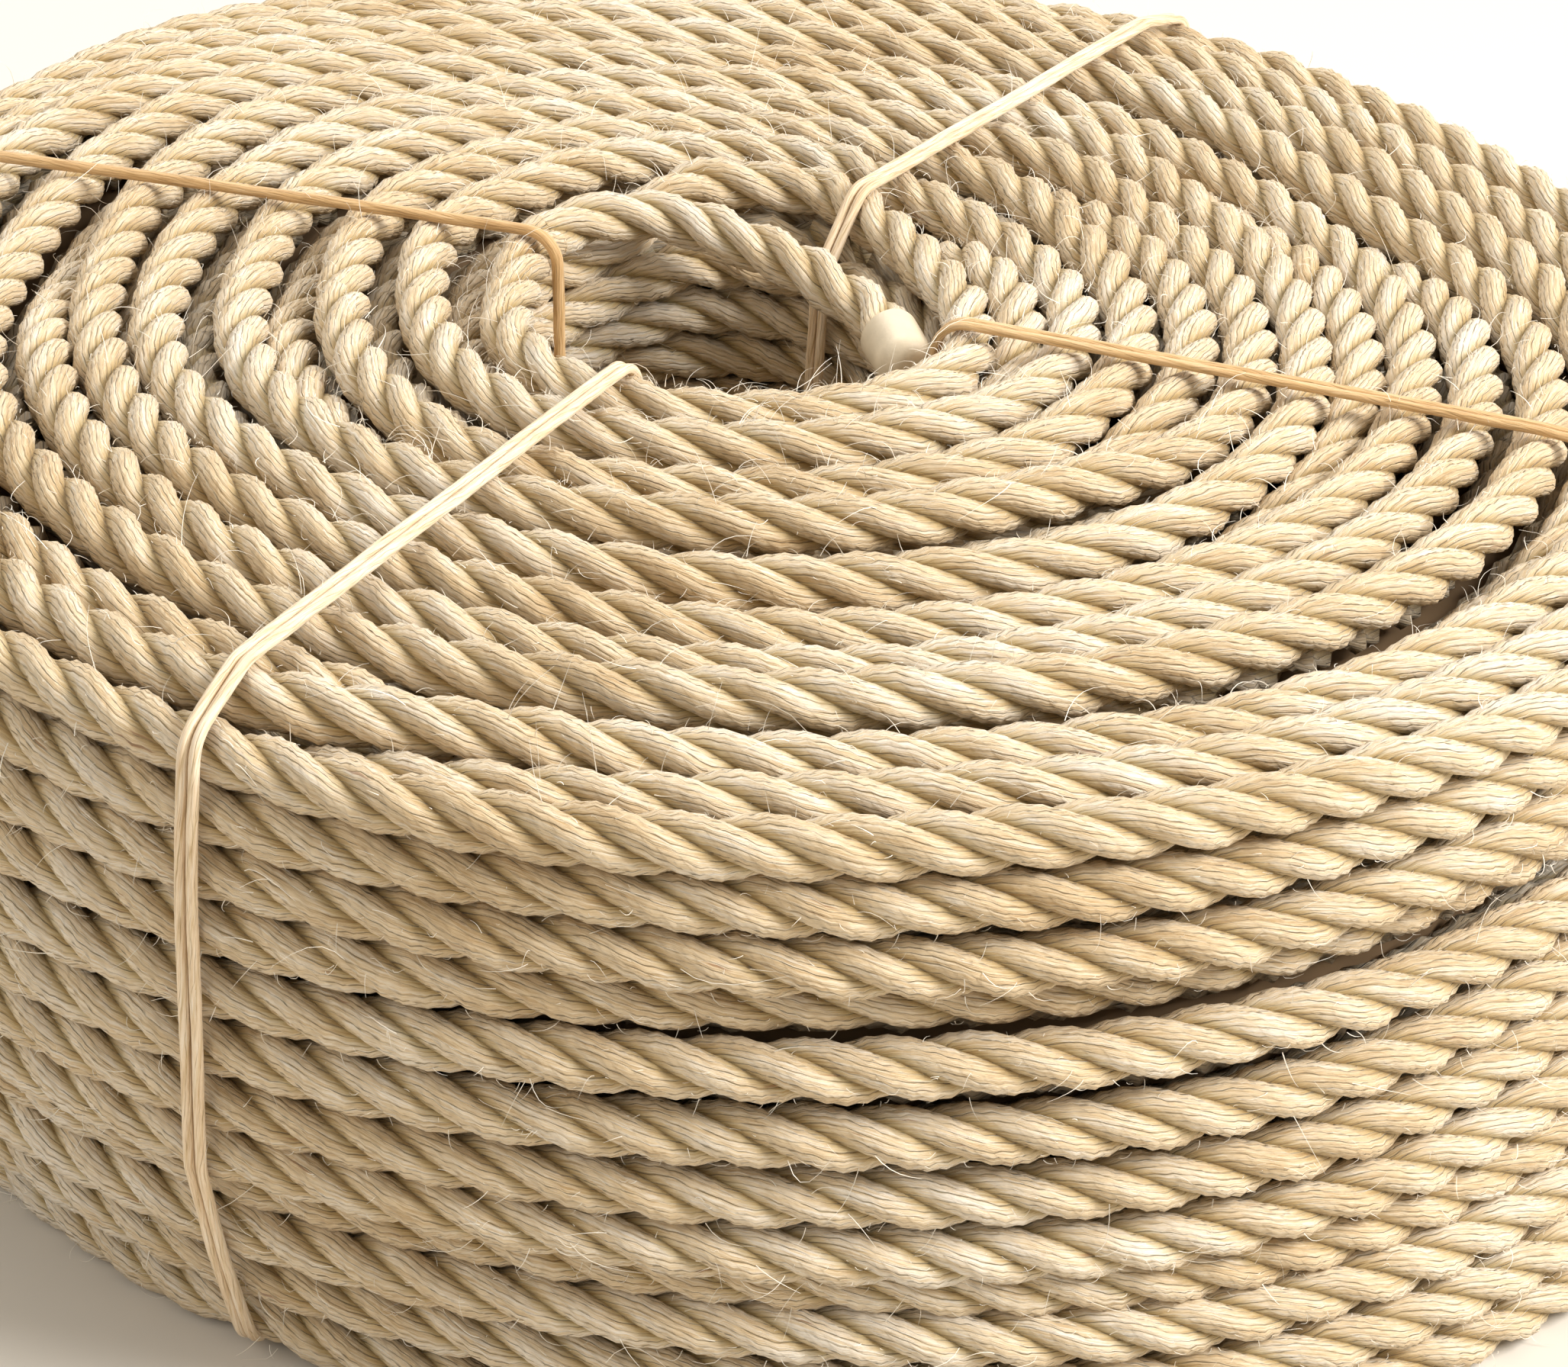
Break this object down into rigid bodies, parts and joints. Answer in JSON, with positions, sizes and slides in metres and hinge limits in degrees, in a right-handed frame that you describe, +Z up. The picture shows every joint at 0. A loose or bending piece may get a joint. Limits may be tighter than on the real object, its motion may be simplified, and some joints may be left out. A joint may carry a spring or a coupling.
{
  "type": "coil of rope",
  "caption": "Flat round coil of laid jute rope with an open eye, bound by twine ties, the rope's sealed inner end lying loose inside the eye.",
  "frame": {"origin": "under the middle of the box round the coil, on the surface it rests on", "axes": "+Z up along the axis of the eye, -Y towards the viewer of the picture, +X to the viewer's right"},
  "size_m": [0.3632, 0.356, 0.1235],
  "materials": {
    "jute_rope": "matte laid fibre",
    "tie_straw": "matte twine",
    "tie_tan": "matte twine",
    "end_seal": "smooth matte"
  },
  "bodies": {
    "root": {"coil": "jute_rope", "loose_end": "jute_rope", "tie_front": "tie_straw", "tie_back": "tie_straw", "tie_right": "tie_tan", "tie_left": "tie_tan", "end_seal": "end_seal"}
  },
  "joints": []
}
